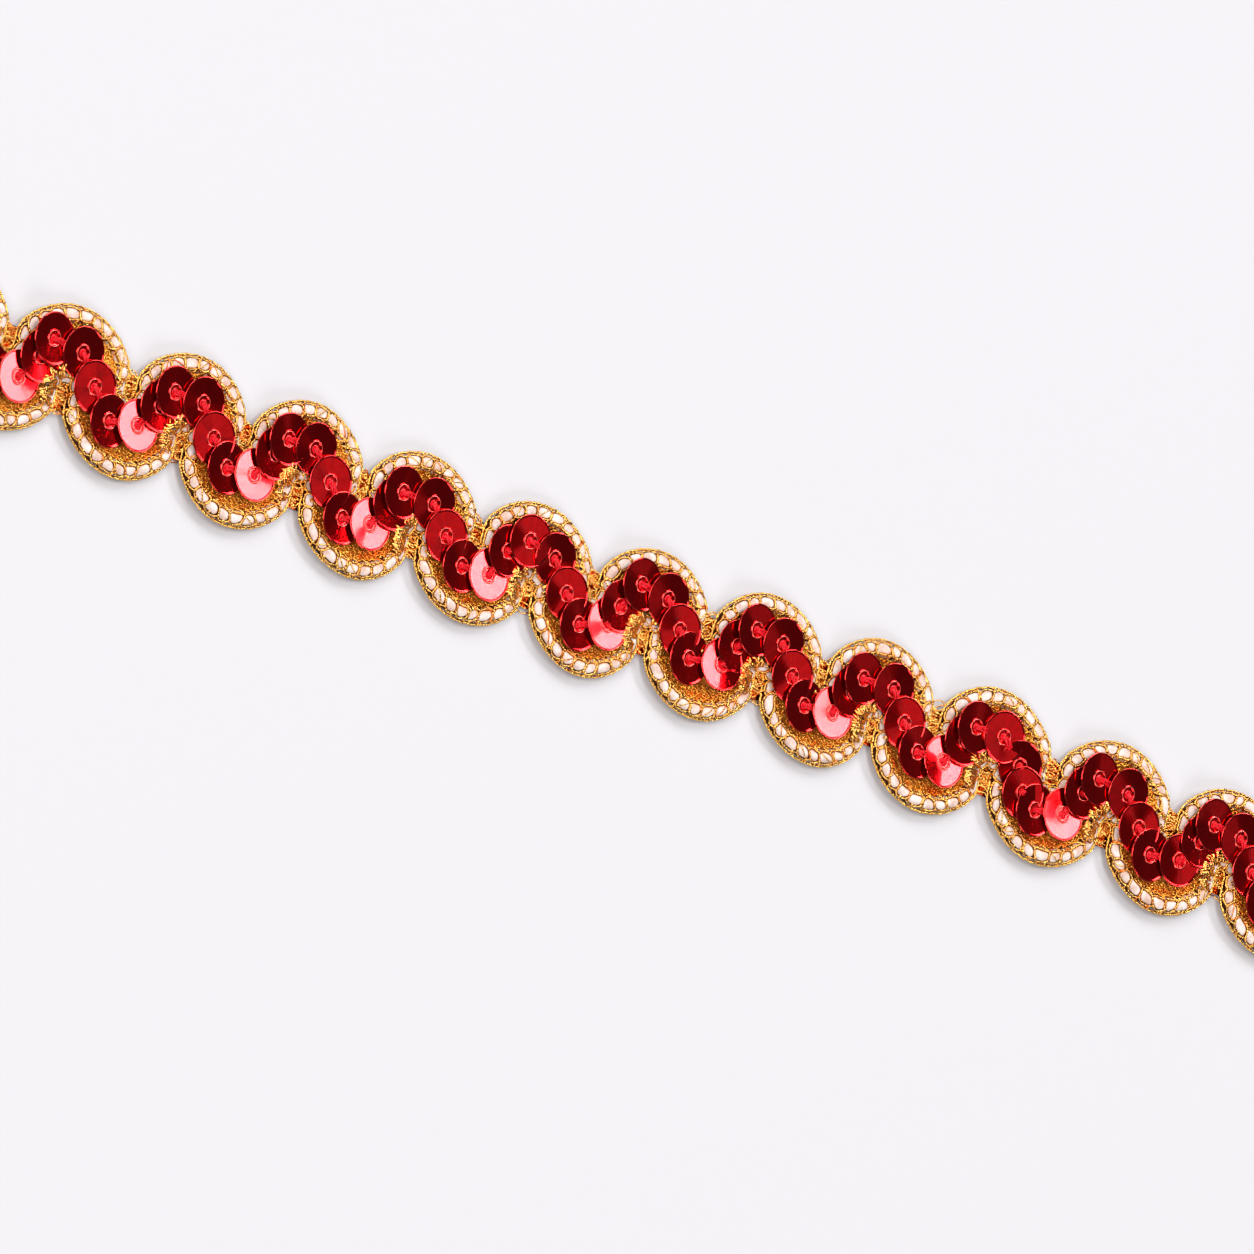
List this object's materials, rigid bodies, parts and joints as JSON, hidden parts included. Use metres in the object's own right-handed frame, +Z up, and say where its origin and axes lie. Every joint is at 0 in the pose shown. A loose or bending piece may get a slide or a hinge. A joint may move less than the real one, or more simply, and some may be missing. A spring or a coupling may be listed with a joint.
{
  "type": "sequin trim",
  "caption": "Cut length of serpentine gold braid with white-cored edge cords and a strand of overlapping red cupped sequins sewn along its middle, lying flat.",
  "frame": {"origin": "middle of the underside of the trim's bounding box, on the surface it lies on", "axes": "+X along the trim, +Y across it in its own plane, +Z up out of the sequin side"},
  "size_m": [0.2059, 0.0174, 0.0027],
  "materials": {
    "gold_braid": "bright metallic gold yarn worked openly over a cord, uneven sparkle",
    "white_core": "soft off-white cotton core that shows between the gold strands",
    "red_sequins": "mirror-bright metallic red foil with a fine radial brushing",
    "red_thread": "shiny red filament sewing thread"
  },
  "bodies": {
    "root": {"braid": "gold_braid", "sequin_strand": "red_sequins"}
  },
  "joints": []
}
